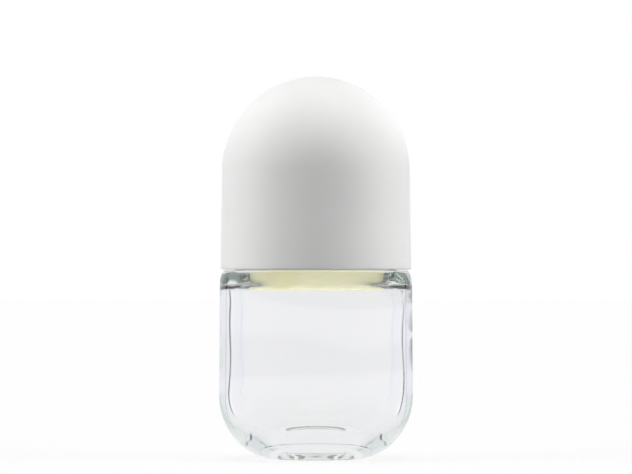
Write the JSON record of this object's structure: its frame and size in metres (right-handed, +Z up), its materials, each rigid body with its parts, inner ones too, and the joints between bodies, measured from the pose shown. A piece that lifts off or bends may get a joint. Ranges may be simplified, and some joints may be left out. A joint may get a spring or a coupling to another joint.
{
  "type": "roll-on bottle",
  "caption": "Clear blown glass roll-on bottle with a deep rounded heel, a ball held in a plug-in holder in the neck, and a white screw cap with a hemispherical top.",
  "frame": {"origin": "centre of the standing ring, on the plane the bottle stands on", "axes": "+Z up along the bottle's axis, through the ball and the top of the dome; +X and +Y are free, because the form is turned about Z"},
  "size_m": [0.04, 0.04, 0.0787],
  "materials": {
    "clear_glass": "clear, fire polished",
    "natural_polyethylene": "natural, slightly translucent",
    "white_ball_plastic": "polished",
    "soft_seal": "soft, satin",
    "inner_cap_plastic": "moulded, semi gloss",
    "matte_white_plastic": "fine matte"
  },
  "bodies": {
    "bottle": {"glass_bottle": "clear_glass", "ball_holder": "natural_polyethylene"},
    "ball": {"roller_ball": "white_ball_plastic"},
    "seal": {"seal_ring": "soft_seal"},
    "cap": {"inner_cap": "inner_cap_plastic", "dome_cap": "matte_white_plastic"}
  },
  "joints": [
    {"name": "cap_lift", "type": "slide", "parent": "bottle", "child": "seal", "axis": [0, 0, 1], "range_m": [0, 0.03]},
    {"name": "cap_turn", "type": "hinge", "parent": "seal", "child": "cap", "pos_m": [0, 0, 0.05], "axis": [0, 0, 1], "range_deg": [0, 360]},
    {"name": "ball_roll", "type": "hinge", "parent": "bottle", "child": "ball", "pos_m": [0, 0, 0.0482], "axis": [1, 0, 0], "continuous": true}
  ]
}
